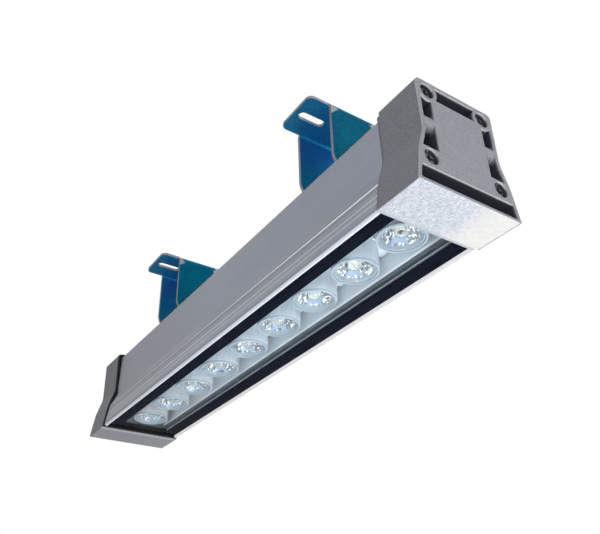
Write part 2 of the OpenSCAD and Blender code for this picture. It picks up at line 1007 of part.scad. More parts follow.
module clip_far() {
    color([0.7, 0.71, 0.73])
        translate([0, bracket_spacing / 2, 0])
            clip();
}

module at_brackets() {
    for (s = [-1, 1])
        translate([0, s * bracket_spacing / 2, 0])
            children();
}

module clip_screws() {
    grip = sheet_t + face_gap + slot_lip_t + face_gap + slot_nut_t;
    color("silver")
        at_brackets()
            translate([0, 0, back_z + face_gap + sheet_t + clip_head_h])
                mirror([0, 0, 1])
                    pan_screw(clip_head_r, clip_head_h, clip_screw_r, grip);
}

module slot_nuts() {
    color("silver")
        at_brackets()
            translate([0, 0, back_z - slot_lip_t - face_gap - slot_nut_t])
                difference() {
                    translate([-slot_nut_w / 2, -slot_nut_l / 2, 0])
                        cube([slot_nut_w, slot_nut_l, slot_nut_t]);
                    translate([0, 0, -cut])
                        cylinder(h = slot_nut_t + 2 * cut, r = clip_screw_r + run_gap);
                }
}

// Draws along a pivot bolt: z runs along the lamp from the middle of the bracket
module at_pivots() {
    at_brackets()
        translate([0, 0, pivot_z])
            rotate([-90, 0, 0])
                children();
}

module ring(outer, inner, thickness) {
    difference() {
        cylinder(h = thickness, r = outer);
        translate([0, 0, -cut])
            cylinder(h = thickness + 2 * cut, r = inner);
    }
}

module pivot_bolts() {
    start = -bracket_w / 2 - washer_t;
    end = bracket_w / 2 + washer_t + spring_t + nut_t + bolt_tail;
    color("silver")
        at_pivots() {
            translate([0, 0, start - head_t])
                hex(nut_hex, head_t);
            translate([0, 0, start - head_t / 2])
                cylinder(h = end - start + head_t / 2, r = bolt_r);
        }
}

module pivot_washers() {
    color("silver")
        at_pivots() {
            translate([0, 0, -bracket_w / 2 - washer_t])
                ring(washer_r, bolt_r + run_gap, washer_t);
            translate([0, 0, bracket_w / 2])
                ring(washer_r, bolt_r + run_gap, washer_t);
        }
}

module friction_washers() {
    color("white")
        at_pivots() {
            translate([0, 0, -leg_in])
                ring(washer_r, bolt_r + run_gap, friction_t);
            translate([0, 0, leg_in - friction_t])
                ring(washer_r, bolt_r + run_gap, friction_t);
        }
}

module spring_washers() {
    color("silver")
        at_pivots()
            translate([0, 0, bracket_w / 2 + washer_t])
                rotate_extrude(angle = 360 - spring_slit_angle)
                    translate([bolt_r + run_gap, 0])
                        square([spring_r - bolt_r - run_gap, spring_t]);
}

module pivot_nuts() {
    color("silver")
        at_pivots()
            translate([0, 0, bracket_w / 2 + washer_t + spring_t])
                difference() {
                    hex(nut_hex, nut_t);
                    translate([0, 0, -cut])
                        cylinder(h = nut_t + 2 * cut, r = bolt_r + run_gap);
                }
}

housing_profile();
end_cap_near();
end_cap_far();
gasket(-1);  // gasket_near
gasket(1);  // gasket_far
cap_screws(-1);  // cap_screws_near
cap_screws(1);  // cap_screws_far
front_glass();
glass_seal();
led_board();
board_screws();
for (i = [1:led_count]) {
    led(i);
    lens(i);
    lens_holder(i);
}
driver_board();
driver_transformer();
driver_capacitors();
driver_rectifier();
driver_terminal();
lead_positive();
lead_negative();
gland_body();
gland_seal();
gland_nut();
gland_locknut();
clip_near();
clip_far();
clip_screws();
slot_nuts();
bracket_near();
bracket_far();
pivot_bolts();
pivot_washers();
friction_washers();
spring_washers();
pivot_nuts();
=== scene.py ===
"""Looks of an outdoor wall washer light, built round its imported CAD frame."""
import math
import random

import bmesh
import bpy
from mathutils import Euler, Matrix, Vector

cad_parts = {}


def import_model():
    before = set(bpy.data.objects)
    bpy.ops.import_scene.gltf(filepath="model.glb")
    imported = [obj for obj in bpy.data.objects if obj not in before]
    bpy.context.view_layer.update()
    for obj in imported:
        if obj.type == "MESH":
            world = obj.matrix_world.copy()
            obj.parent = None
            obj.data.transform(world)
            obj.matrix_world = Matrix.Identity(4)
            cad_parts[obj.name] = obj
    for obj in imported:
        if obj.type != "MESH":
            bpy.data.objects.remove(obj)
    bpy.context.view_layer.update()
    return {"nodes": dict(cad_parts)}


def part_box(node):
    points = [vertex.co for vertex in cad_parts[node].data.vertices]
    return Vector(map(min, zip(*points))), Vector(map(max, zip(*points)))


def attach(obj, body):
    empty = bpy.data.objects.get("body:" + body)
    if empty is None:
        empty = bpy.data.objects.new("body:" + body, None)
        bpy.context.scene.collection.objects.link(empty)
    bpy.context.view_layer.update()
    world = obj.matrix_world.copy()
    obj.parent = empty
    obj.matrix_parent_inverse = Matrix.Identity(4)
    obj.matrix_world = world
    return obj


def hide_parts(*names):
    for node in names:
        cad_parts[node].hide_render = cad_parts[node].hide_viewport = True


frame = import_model()
nodes = frame["nodes"]

MM = 0.001


def middle_y(name):
    return sum(corner.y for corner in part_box(name)) / 2


# Landmarks read from the frame
cap_low, cap_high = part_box("end_cap_near")
glass_low, glass_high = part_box("front_glass")
bracket_low, bracket_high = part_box("bracket_near")
FACE_Z = cap_low.z
CAP_HALF = cap_high.x
NEAR_END = cap_low.y
FAR_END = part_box("end_cap_far")[1].y
MID_Y = (NEAR_END + FAR_END) / 2
LENS_COUNT = sum(name.startswith("lens_holder_") for name in nodes)
LENS_Y = middle_y("lens_1")
LENS_PITCH = middle_y("lens_2") - LENS_Y
HOLDER_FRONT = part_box("lens_holder_1")[0].z
BOARD_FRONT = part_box("led_board")[0].z
BRACKET_OFFSET = (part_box("bracket_far")[0].y - bracket_low.y) / 2
BRACKET_HALF = (bracket_high.y - bracket_low.y) / 2

# Camera, fitted to the photograph
CAMERA_PLACE = (-158.77 * MM, -269.85 * MM, -229.11 * MM)
CAMERA_TURN = (121.551, 1.426, -34.150)
CAMERA_LENS = 42.28
CAMERA_SENSOR = 36
CAMERA_RANGE = (0.01, 50)

# Floor and sky, which glow for the eye and count less as light
FLOOR_Z = -0.75
FLOOR_HALF = 6.0
FLOOR_GLOW = 0.5
FLOOR_COLOR = (0.74, 0.74, 0.74)
SKY_SEEN = 1.0
SKY_LIGHT = 0.31
SKY_LIGHT_COLOR = (0.97, 0.985, 1, 1)


class Look:
    """A procedural material under construction. Masks are values from 0 to 1, colours are linear RGB."""

    def __init__(self, name, color=None, rough=None, metal=0.0, **more):
        self.mat = bpy.data.materials.new(name)
        self.mat.use_nodes = True
        self.tree = self.mat.node_tree
        self.tree.nodes.clear()
        self.out = self.add("OutputMaterial")
        self.shader = self.add("BsdfPrincipled")
        self.tree.links.new(self.shader.outputs[0], self.out.inputs[0])
        coordinates = self.add("TexCoord")
        self.place = coordinates.outputs["Object"]
        self.normal = coordinates.outputs["Normal"]
        if color is not None:
            self.set("Base Color", (*color, 1.0))
        if rough is not None:
            self.set("Roughness", rough)
        self.set("Metallic", metal)
        for socket, value in more.items():
            self.set(socket.replace("_", " ").title().replace("Ior", "IOR"), value)

    def add(self, kind, **settings):
        node = self.tree.nodes.new("ShaderNode" + kind)
        for name, value in settings.items():
            setattr(node, name, value)
        return node

    def put(self, socket, value):
        if isinstance(value, bpy.types.NodeSocket):
            self.tree.links.new(value, socket)
        else:
            socket.default_value = value

    def set(self, socket, value):
        self.put(self.shader.inputs[socket], value)

    def math(self, operation, a, b=0.0):
        node = self.add("Math", operation=operation)
        self.put(node.inputs[0], a)
        self.put(node.inputs[1], b)
        return node.outputs[0]

    def scale(self, value, factor):
        """The value times a number or times another value."""
        return self.math("MULTIPLY", value, factor)

    def invert(self, mask):
        return self.math("SUBTRACT", 1.0, mask)

    def blend(self, *parts):
        """The sum of values, each times its weight."""
        weighted = [self.scale(value, weight) for value, weight in parts]
        total = weighted[0]
        for value in weighted[1:]:
            total = self.math("ADD", total, value)
        return total

    def any_of(self, *masks):
        result = masks[0]
        for mask in masks[1:]:
            result = self.math("MAXIMUM", result, mask)
        return result

    def all_of(self, *masks):
        result = masks[0]
        for mask in masks[1:]:
            result = self.math("MULTIPLY", result, mask)
        return result

    def xyz(self, vector=None):
        node = self.add("SeparateXYZ")
        self.put(node.inputs[0], self.place if vector is None else vector)
        return node.outputs[0], node.outputs[1], node.outputs[2]

    def over_face(self):
        """A point's height over the light face and its distance from the middle plane, in millimetres."""
        x, _, z = self.xyz()
        height = self.math("DIVIDE", self.math("SUBTRACT", z, FACE_Z), MM)
        side = self.math("DIVIDE", self.math("ABSOLUTE", x), MM)
        return height, side

    def noise(self, size, stretch=(1, 1, 1), detail=2.0, rough=0.5, distortion=0.0):
        """Noise whose grains are about size metres across, longer along an axis by its stretch."""
        mapping = self.add("Mapping")
        self.put(mapping.inputs["Vector"], self.place)
        mapping.inputs["Scale"].default_value = [1 / s for s in stretch]
        node = self.add("TexNoise")
        self.put(node.inputs["Vector"], mapping.outputs[0])
        node.inputs["Scale"].default_value = 1 / size
        node.inputs["Detail"].default_value = detail
        node.inputs["Roughness"].default_value = rough
        node.inputs["Distortion"].default_value = distortion
        return node.outputs["Fac"]

    def remap(self, value, low, high, to_low=0.0, to_high=1.0, smooth=False):
        """A ramp from to_low at low to to_high at high. Low can be the larger number."""
        node = self.add("MapRange", clamp=True, interpolation_type="SMOOTHSTEP" if smooth else "LINEAR")
        self.put(node.inputs["Value"], value)
        ends = {"From Min": low, "From Max": high, "To Min": to_low, "To Max": to_high}
        for socket, number in ends.items():
            node.inputs[socket].default_value = number
        return node.outputs[0]

    def band(self, value, centre, half, soft):
        """1 where value is within half of centre, falling to 0 over soft."""
        away = self.math("ABSOLUTE", self.math("SUBTRACT", value, centre))
        return self.remap(away, half + soft, half)

    def lines(self, value, lines):
        """1 on any of the lines, each given as (centre, half, soft)."""
        return self.any_of(*(self.band(value, *line) for line in lines))

    def mix(self, fac, a, b):
        node = self.add("Mix", data_type="RGBA")
        self.put(node.inputs["Factor"], fac)
        for socket, value in ((node.inputs[6], a), (node.inputs[7], b)):
            self.put(socket, value if isinstance(value, bpy.types.NodeSocket) else (*value, 1.0))
        return node.outputs[2]

    def tint(self, color, other, mask, share):
        """The colour with a share of the other laid over it where the mask is 1."""
        return self.mix(self.scale(mask, share), color, other)

    def grade(self, value, pair, low=0.3, high=0.7):
        """The pair's first colour where value is at most low, its second where value is at least high."""
        return self.mix(self.remap(value, low, high), *pair)

    def bump(self, height, strength, distance):
        node = self.add("Bump")
        node.inputs["Strength"].default_value = strength
        node.inputs["Distance"].default_value = distance
        self.put(node.inputs["Height"], height)
        self.set("Normal", node.outputs[0])

    def lets_lamps_through(self):
        """Light from lamps passes straight through, so that clear pieces shade nothing behind them."""
        path = self.add("LightPath")
        clear = self.add("BsdfTransparent")
        both = self.add("MixShader")
        self.put(both.inputs[0], path.outputs["Is Shadow Ray"])
        self.put(both.inputs[1], self.shader.outputs[0])
        self.put(both.inputs[2], clear.outputs[0])
        self.put(self.out.inputs[0], both.outputs[0])


# In the tables below a ramp is (start, end), a line is (centre, half width, soft edge) and a fade is
# (start, end, value at the start, value at the end). Lengths are in millimetres, or in metres where they
# are written with MM. A colour that varies is a pair.

# Housing, by height over the light face and by distance from the middle plane
OUTER_SIDES = (19.5, 20.0)
# The ridge and groove lines below carry a painted highlight that fades along the lamp
RIDGE_LINES = ((13.4, 0.3, 0.25), (14.5, 0.2, 0.2))
RIDGE_HIGHLIGHT_FADE = (-95 * MM, 30 * MM, 0.85, 0.25)
UPPER_GROOVE = (8.2, 0.3, 0.25)
UPPER_SHARE = 0.36
LOWER_GROOVE = (5.4, 0.25, 0.2)
LOWER_SHARE = 0.45
SHADE_LINES = ((11.7, 0.3, 0.9), (15.25, 0.15, 0.25))
SHADE_SHARE = 0.5
SATIN_FADE = (0.0, 130 * MM, 0.0, 0.65)
CHAMBER_SIDE = (16.5, 16.4)
CHAMBER_FRONT = (3.9, 4.0)
CHAMBER_BACK = (18.8, 18.6)
LEDGE_LINE = (6.2, 1.6, 0.2)
LEDGE_RIM = (7.7, 0.5, 0.2)
SEAT_SIDE = (15.2, 15.3)
LIP_SIDE = (21.5, 21.7)
LIP_TOP = (1.4, 1.2)
LIP_SEAM = (22.1, 0.07, 0.08)
LIP_FOOT = (0.56, 0.52)
RECESS_END = (22.2, 22.1)
SEALANT_START = (1.8, 1.9)
SEALANT_END = (5.4, 5.2)

SATIN = ((0.270, 0.292, 0.345), (0.380, 0.403, 0.466))
SATIN_FAR_SHADE = (0.20, 0.212, 0.245)
SATIN_SHADE = (0.14, 0.152, 0.18)
SATIN_HIGHLIGHT = (0.9, 0.92, 0.95)
CHAMBER_PALE = (0.62, 0.68, 0.74)
CHAMBER_SHADE = (0.10, 0.13, 0.15)
CHAMBER_RIM_HIGHLIGHT = (0.84, 0.87, 0.92)
LIP_BRIGHT = (0.86, 0.89, 1.0)
LIP_DIM = (0.55, 0.57, 0.63)
LIP_RIGHT_SHADE = (0.52, 0.55, 0.60)
SEALANT = (0.004, 0.005, 0.009)
SATIN_METAL = 0.3
HIGHLIGHT_METAL = 0.4
LIP_GLOW = 0.5
SATIN_ROUGH = (0.25, 0.75, 0.34, 0.5)


def housing_look():
    """Satin extrusion with painted highlights on its groove lines and painted shade toward the far end, a
    bright lip whose inner wall glows as a painted reflection and whose right underside is painted darker
    as shade, and behind the glass its chamber's walls with painted shade and a painted highlight line.
    """
    look = Look("satin_extrusion")
    height, side = look.over_face()
    x, y, _ = look.xyz()
    grain = look.noise(0.5 * MM, detail=3)
    streak = look.noise(0.35 * MM, stretch=(1, 220, 1), detail=2)
    cloud = look.noise(45 * MM, detail=3)
    speck = look.noise(0.9 * MM, detail=4, rough=0.7)
    tone = look.blend((streak, 0.3), (speck, 0.45), (cloud, 0.25))
    satin = look.grade(tone, SATIN, 0.36, 0.64)
    # Painted shade: the satin darkens toward the far end, where less light falls
    satin = look.mix(look.remap(y, *SATIN_FADE), satin, SATIN_FAR_SHADE)

    outside = look.remap(side, *OUTER_SIDES)
    # Painted highlights along the ridge and groove lines, strongest at the near end and fading toward the
    # far end
    ridge = look.all_of(look.lines(height, RIDGE_LINES), look.remap(y, *RIDGE_HIGHLIGHT_FADE))
    upper = look.scale(look.band(height, *UPPER_GROOVE), UPPER_SHARE)
    lower = look.scale(look.band(height, *LOWER_GROOVE), LOWER_SHARE)
    painted_highlight = look.all_of(outside, look.any_of(ridge, upper, lower))
    shade = look.all_of(outside, look.lines(height, SHADE_LINES))
    satin = look.tint(satin, SATIN_SHADE, shade, SHADE_SHARE)

    chamber = look.all_of(look.remap(side, *CHAMBER_SIDE), look.remap(height, *CHAMBER_FRONT),
                          look.remap(height, *CHAMBER_BACK))
    # Chamber walls seen through the glass: the dark ledge line and the dark walls past the seat are
    # painted shade and dark reflection, and the ledge rim is a painted highlight line
    wall = look.mix(look.band(height, *LEDGE_LINE), CHAMBER_PALE, CHAMBER_SHADE)
    wall = look.mix(look.band(height, *LEDGE_RIM), wall, CHAMBER_RIM_HIGHLIGHT)
    wall = look.mix(look.remap(side, *SEAT_SIDE), wall, CHAMBER_SHADE)

    past_lip = look.remap(side, *LIP_SIDE)
    recess = look.all_of(past_lip, look.remap(side, *RECESS_END))
    # The recess wall above the lip is painted bright and glows up to the sealant, a painted reflection of
    # the bright surroundings
    past_glow = look.remap(height, *SEALANT_START)
    sealant = look.all_of(recess, past_glow, look.remap(height, *SEALANT_END))
    glowing_wall = look.all_of(recess, look.invert(past_glow))
    lip = look.all_of(look.any_of(look.remap(height, *LIP_TOP), glowing_wall), past_lip)
    bright = look.mix(look.band(side, *LIP_SEAM), LIP_BRIGHT, LIP_DIM)
    # Painted shade: the right lip's underside is painted darker than the left one
    right_foot_shade = look.all_of(look.remap(x, 0.0, 1 * MM), look.remap(height, *LIP_FOOT))
    bright = look.mix(right_foot_shade, bright, LIP_RIGHT_SHADE)

    color = look.mix(painted_highlight, satin, SATIN_HIGHLIGHT)
    color = look.mix(chamber, color, wall)
    color = look.mix(lip, color, bright)
    look.set("Base Color", look.mix(sealant, color, SEALANT))
    metal = look.math("ADD", SATIN_METAL, look.scale(painted_highlight, HIGHLIGHT_METAL))
    look.set("Metallic", look.all_of(metal, look.invert(look.any_of(lip, chamber))))
    # Painted reflection: the lip's inner wall glows
    look.set("Emission Color", (1.0, 1.0, 1.0, 1.0))
    look.set("Emission Strength", look.scale(glowing_wall, LIP_GLOW))
    look.set("Roughness", look.remap(tone, *SATIN_ROUGH))
    look.bump(look.blend((streak, 0.5), (grain, 0.5)), 0.12, 0.05 * MM)
    return look.mat


# End caps, also by depth from their outer faces and by the way a surface faces
POCKET_SIDE = (16.6, 16.4)
POCKET_FRONT = (0.5, 0.8)
POCKET_BACK = (48.4, 48.1)
POCKET_DEPTH = (0.15, 1.3)
FOOT_TOP = (9.0, 8.5)
FOOT_SIDE = (23.1, 23.0)
BRIDGE_LINE = (29.5, 3.4, 1.0)
BRIDGE_DEPTH = (3.6, 2.6)
EDGE_DEPTH = (0.6, 0.3)
HIGHLIGHT_DEPTH = (0.9, 0.5)
FAR_RIM_DEPTH = (17.9, 18.3)
BRIM_START = (CAP_HALF - 1.04 * MM, CAP_HALF - 0.94 * MM)
GROUND_TOP = (0.3, 0.22)
REFLECTION_SPAN = (4 * MM, 25 * MM)
FACING_OUT = (0.6, 0.8)
FACING_MIDDLE = (-0.1, -0.3)
FACING_FRONT = (-0.3, -0.6)

PAINT = ((0.165, 0.172, 0.20), (0.295, 0.305, 0.335))
PAINT_CLOUD = (0.33, 0.335, 0.36)
PAINT_EDGE_WEAR_AND_HIGHLIGHT = (0.72, 0.73, 0.77)
PAINT_SPECK = (0.06, 0.06, 0.07)
PAINT_HIGHLIGHT = (0.86, 0.87, 0.90)
PAINT_FAR_SHADE = (0.11, 0.115, 0.13)
POCKET_SHADE = (0.030, 0.036, 0.050)
GROUND_COOL = ((0.40, 0.44, 0.50), (0.72, 0.77, 0.84))
GROUND_REFLECTION = ((0.70, 0.69, 0.68), (0.82, 0.81, 0.80))
GROUND_FAR_SHADE = (0.14, 0.15, 0.19)
FAR_RIM_LINE = (0.44, 0.45, 0.49)
BRIM = (0.36, 0.39, 0.45)
ROUGH_PAINT = (0.62, 0.62, 0.62)
ROUGH_GROUND = (0.33, 0.33, 0.33)


def cap_look():
    """Fine powder paint, shadowed in the pockets, its edges lightened partly by wear and partly as
    painted highlight, and those facing the light face's way painted as highlights; the light-face side is
    ground to bare metal with a painted reflection brightening it toward +x, and the far cap is painted a
    shade darker.
    """
    look = Look("cast_cap_paint")
    height, side = look.over_face()
    x, y, _ = look.xyz()
    nx, ny, nz = look.xyz(look.normal)
    from_middle = look.math("ABSOLUTE", look.math("SUBTRACT", y, MID_Y))
    depth = look.math("DIVIDE", look.math("SUBTRACT", (FAR_END - NEAR_END) / 2, from_middle), MM)
    far = look.remap(y, 0.0, 1 * MM)
    faces_out = look.remap(look.math("ABSOLUTE", ny), *FACING_OUT)
    faces_along = look.invert(faces_out)

    inward = look.remap(look.scale(nx, look.math("SIGN", x)), *FACING_MIDDLE)
    foot = look.all_of(look.remap(height, *FOOT_TOP), look.remap(side, *FOOT_SIDE))
    inside = look.any_of(look.remap(side, *POCKET_SIDE), foot, inward, faces_out)
    inside = look.all_of(inside, look.remap(height, *POCKET_FRONT), look.remap(height, *POCKET_BACK))
    bridge = look.all_of(look.band(height, *BRIDGE_LINE), look.remap(depth, *BRIDGE_DEPTH))
    sunk = look.all_of(inside, look.remap(depth, *POCKET_DEPTH), look.invert(look.scale(bridge, 0.8)))
    # Edges along the outer faces are lightened, partly as wear and partly as painted highlight
    edge_wear_and_highlight = look.all_of(look.remap(depth, *EDGE_DEPTH), faces_along)
    # Painted highlight on edges facing the same way as the light face, where light from below catches
    # them
    painted_highlight = look.all_of(look.remap(depth, *HIGHLIGHT_DEPTH), faces_along, look.remap(nz, *FACING_FRONT))

    grain = look.noise(0.75 * MM, detail=5, rough=0.75)
    cloud = look.noise(14 * MM, detail=3)
    speck = look.remap(look.noise(1.6 * MM, detail=1), 0.24, 0.2)
    paint = look.grade(grain, PAINT, 0.34, 0.66)
    paint = look.tint(paint, PAINT_CLOUD, look.remap(cloud, 0.3, 0.7), 0.2)
    paint = look.tint(paint, PAINT_EDGE_WEAR_AND_HIGHLIGHT, edge_wear_and_highlight, 0.9)
    paint = look.tint(paint, PAINT_SPECK, speck, 0.7)
    paint = look.tint(paint, POCKET_SHADE, sunk, 0.97)
    paint = look.tint(paint, PAINT_HIGHLIGHT, painted_highlight, 0.85)
    # Painted shade: the far cap's paint is darker, as less light reaches it
    paint = look.tint(paint, PAINT_FAR_SHADE, far, 0.4)

    scratch = look.noise(0.36 * MM, stretch=(1, 6, 1), detail=3, rough=0.7)
    fleck = look.noise(0.36 * MM, stretch=(6, 1, 1), detail=3, rough=0.7)
    brushed = look.blend((scratch, 0.5), (fleck, 0.5))
    # Painted reflection: the ground face turns brighter and warmer toward +x
    toward_reflection = look.remap(look.math("ADD", x, look.scale(cloud, 16 * MM)), *REFLECTION_SPAN, smooth=True)
    metal = look.mix(toward_reflection, look.grade(brushed, GROUND_COOL, 0.42, 0.58),
                     look.grade(brushed, GROUND_REFLECTION, 0.40, 0.60))
    # Painted shade: the far cap's ground face is darker
    metal = look.tint(metal, GROUND_FAR_SHADE, far, 0.85)
    # A lighter line on the far cap's ground face along its inner end
    metal = look.mix(look.all_of(far, look.remap(depth, *FAR_RIM_DEPTH)), metal, FAR_RIM_LINE)
    metal = look.mix(look.remap(x, *BRIM_START), metal, BRIM)

    ground = look.remap(height, *GROUND_TOP)
    look.set("Base Color", look.mix(ground, paint, metal))
    look.set("Metallic", look.scale(ground, 0.2))
    look.set("Roughness", look.mix(ground, ROUGH_PAINT, ROUGH_GROUND))
    rough_height = look.scale(grain, look.invert(ground))
    fine_height = look.scale(brushed, look.scale(ground, 0.6))
    look.bump(look.math("ADD", rough_height, fine_height), 0.5, 0.09 * MM)
    return look.mat


def glass_look(name, color, ior):
    look = Look(name, color, 0.0, ior=ior, transmission_weight=1.0)
    look.lets_lamps_through()
    return look.mat


# Lens holders
HOLDER = ((0.66, 0.74, 0.83), (0.76, 0.84, 0.92))
HOLDER_FAR_SHADE = (0.68, 0.67, 0.66)
HOLDER_RIM = (0.38, 0.46, 0.54)
HOLDER_FADE = (50 * MM, 120 * MM, 0.0, 0.8)
RIM_END = (HOLDER_FRONT + 0.7 * MM, HOLDER_FRONT + 1.1 * MM)


def holder_look():
    """Hazy plastic, darker at its front edge and duller toward the lamp's far end, that dullness being
    painted shade.
    """
    look = Look("frosted_holder", rough=0.3, ior=1.46, transmission_weight=0.3)
    haze = look.noise(1.3 * MM, stretch=(1, 1, 14), detail=3)
    _, y, z = look.xyz()
    pale = look.grade(haze, HOLDER)
    # Painted shade: the holders grey toward the far end, where the window is unlit
    pale = look.mix(look.remap(y, *HOLDER_FADE), pale, HOLDER_FAR_SHADE)
    look.set("Base Color", look.mix(look.remap(z, *RIM_END), HOLDER_RIM, pale))
    look.bump(haze, 0.1, 0.05 * MM)
    return look.mat


def plain_look(name, dark, light, rough, metal=0.0, grain=0.6, strength=0.15, stretch=(1, 1, 1), **more):
    """A surface whose colour, roughness and height vary with one grain, given in millimetres."""
    look = Look(name, metal=metal, **more)
    noise = look.noise(grain * MM, stretch=stretch, detail=3, rough=0.6)
    cloud = look.noise(grain * 14 * MM, detail=2)
    tone = look.blend((noise, 0.6), (cloud, 0.4))
    look.set("Base Color", look.grade(tone, (dark, light)))
    look.set("Roughness", look.remap(tone, 0.3, 0.7, rough - 0.05, rough + 0.07))
    look.bump(noise, strength, 0.06 * MM)
    return look.mat


# Brackets: the plate with the ears is at the top, with a leg under each of its ends
PLATE_START = (-2.8 * MM, -2.7 * MM)
PLATE_TOP = (-1.0 * MM, -0.8 * MM)
FOLD_LINE = (-2.3 * MM, 0.3 * MM, 0.4 * MM)
EAR_ROOT = 12.9 * MM
EAR_START = (12.8 * MM, EAR_ROOT)
BEND_START = (BRACKET_HALF - 2.9 * MM, BRACKET_HALF - 2.7 * MM)
OUTER_START = (BRACKET_HALF - 1.2 * MM, BRACKET_HALF - 0.8 * MM)
PEEL_HEIGHT = 3.5 * MM
PEEL_SPAN = (3.6 * MM, 3.2 * MM)
PEEL_WANDER = 5 * MM
FACING = (0.3, 0.4)
NOT_FACING = (0.6, 0.5)
EAR_SHEEN_FADE = (14 * MM, 22 * MM, 0.0, 0.7)
LEG_SHEEN_FADE = (-9 * MM, -26 * MM, 0.0, 0.8)
FOLD_SHARE = 0.8
GRIT_LIGHT_FADE = (0.52, 0.66, 0.0, 0.16)
GRIT_DARK_FADE = (0.48, 0.34, 0.0, 0.35)
FILM_METAL = (0.0, 1.0, 0.15, 0.3)

FILM_PLATE = ((0.020, 0.15, 0.42), (0.018, 0.28, 0.56))
FILM_EAR_SHEEN = (0.030, 0.25, 0.42)
FILM_LEG_LIT = ((0.034, 0.14, 0.50), (0.020, 0.29, 0.60))
FILM_LEG_SHEEN = (0.010, 0.26, 0.44)
FILM_OUTER = ((0.001, 0.065, 0.14), (0.001, 0.145, 0.23))
FILM_FOLD_HIGHLIGHT = (0.01, 0.42, 0.72)
FILM_TOP_REFLECTION = (0.001, 0.016, 0.05)
GRIT_LIGHT = (0.02, 0.34, 0.50)
GRIT_DARK = (0.0, 0.03, 0.10)
BARE_STEEL = ((0.32, 0.31, 0.33), (0.44, 0.43, 0.45))


def film_look():
    """Steel sheet under a blue protective film, with bare cut edges and peeled corners; the film is
    painted lighter on the legs to offset their shade, with painted sheen toward the ear tips and leg
    ends, a painted highlight along the fold and a dark painted reflection along the top bend.
    """
    look = Look("filmed_steel", specular_ior_level=0.0)
    x, y, z = look.xyz()
    nx, ny, nz = (look.math("ABSOLUTE", n) for n in look.xyz(look.normal))
    along = look.math("ABSOLUTE", look.math("SUBTRACT", look.math("ABSOLUTE", y), BRACKET_OFFSET))
    side = look.math("ABSOLUTE", x)
    plate = look.remap(z, *PLATE_START)
    on_leg = look.all_of(look.invert(plate), look.remap(ny, *FACING))
    bend = look.all_of(look.invert(look.remap(side, *EAR_START)), look.remap(nx, *NOT_FACING),
                       look.remap(along, *BEND_START))
    flat = look.remap(nz, *FACING)
    covered = look.any_of(on_leg, look.all_of(plate, look.any_of(flat, bend)))

    wander = look.noise(2.2 * MM, detail=3)
    ragged = look.scale(look.math("SUBTRACT", wander, 0.5), PEEL_WANDER)
    to_corner = look.math("ADD", look.math("ABSOLUTE", look.math("ADD", z, PEEL_HEIGHT)),
                          look.math("SUBTRACT", EAR_ROOT, side))
    outer = look.remap(along, *OUTER_START)
    peeled = look.all_of(outer, look.remap(look.math("ADD", to_corner, ragged), *PEEL_SPAN))
    film = look.all_of(covered, look.invert(peeled))

    drift = look.noise(16 * MM, detail=2, distortion=0.6)
    weave = look.noise(0.9 * MM, detail=5, rough=0.8)
    sheen = look.blend((drift, 0.4), (weave, 0.6))
    grain = look.noise(0.4 * MM, stretch=(20, 1, 1), detail=3)
    grit = look.noise(0.75 * MM, detail=2, rough=0.6)
    blue = look.grade(sheen, FILM_PLATE, 0.34, 0.66)
    # Painted sheen: the film turns more teal toward the ear tips
    blue = look.mix(look.remap(side, *EAR_SHEEN_FADE), blue, FILM_EAR_SHEEN)
    # The legs' film is painted lighter to make up for the shade between them
    lit = look.grade(sheen, FILM_LEG_LIT, 0.34, 0.66)
    # Painted sheen: the legs turn more teal toward their lower ends
    lit = look.mix(look.remap(z, *LEG_SHEEN_FADE), lit, FILM_LEG_SHEEN)
    blue = look.mix(on_leg, blue, lit)
    # Painted highlight along the fold between plate and legs
    blue = look.tint(blue, FILM_FOLD_HIGHLIGHT, look.band(z, *FOLD_LINE), FOLD_SHARE)
    coat = look.mix(outer, blue, look.grade(sheen, FILM_OUTER, 0.34, 0.66))
    coat = look.mix(look.remap(grit, *GRIT_LIGHT_FADE), coat, GRIT_LIGHT)
    coat = look.mix(look.remap(grit, *GRIT_DARK_FADE), coat, GRIT_DARK)
    # Painted dark reflection along the top bend of the outer faces
    coat = look.mix(look.all_of(outer, look.remap(z, *PLATE_TOP)), coat, FILM_TOP_REFLECTION)

    look.set("Base Color", look.mix(film, look.grade(grain, BARE_STEEL), coat))
    look.set("Metallic", look.remap(film, *FILM_METAL))
    look.set("Roughness", look.math("ADD", 0.3, look.scale(grain, 0.12)))
    look.bump(look.blend((film, 0.6), (grain, 0.15)), 0.3, 0.08 * MM)
    return look.mat


def along_pitch(look, y):
    """How far a point lies along the lamp from the middle of the nearest lens."""
    from_first = look.math("SUBTRACT", y, LENS_Y - LENS_PITCH / 2)
    return look.math("SUBTRACT", look.math("MODULO", from_first, LENS_PITCH), LENS_PITCH / 2)


# LED board and LEDs
TRACK_LINE = (9.2 * MM, 0.7 * MM, 0.1 * MM)
DASH_ACROSS = (13.5 * MM, 0.45 * MM, 0.1 * MM)
DASH_ALONG = (1.2 * MM, 2.1 * MM, 0.2 * MM)
TRACK_SHARE = 0.35
DASH_SHARE = 0.85
BOARD_REFLECTION_FADE = (70 * MM, 118 * MM, 0.0, 0.55)
PACKAGE_FRONT = BOARD_FRONT - 0.7 * MM
DOME_START = (PACKAGE_FRONT + 0.05 * MM, PACKAGE_FRONT - 0.05 * MM)

BOARD_MASK = ((0.80, 0.87, 0.96), (0.88, 0.94, 1.0))
BOARD_FAR_REFLECTION = (0.42, 0.40, 0.37)
BOARD_TRACK = (0.56, 0.64, 0.72)
BOARD_SHADOW_DASH = (0.08, 0.10, 0.13)
PACKAGE_WHITE = ((0.75, 0.75, 0.74), (0.85, 0.85, 0.84))
PHOSPHOR_DOME = (0.85, 0.66, 0.12)


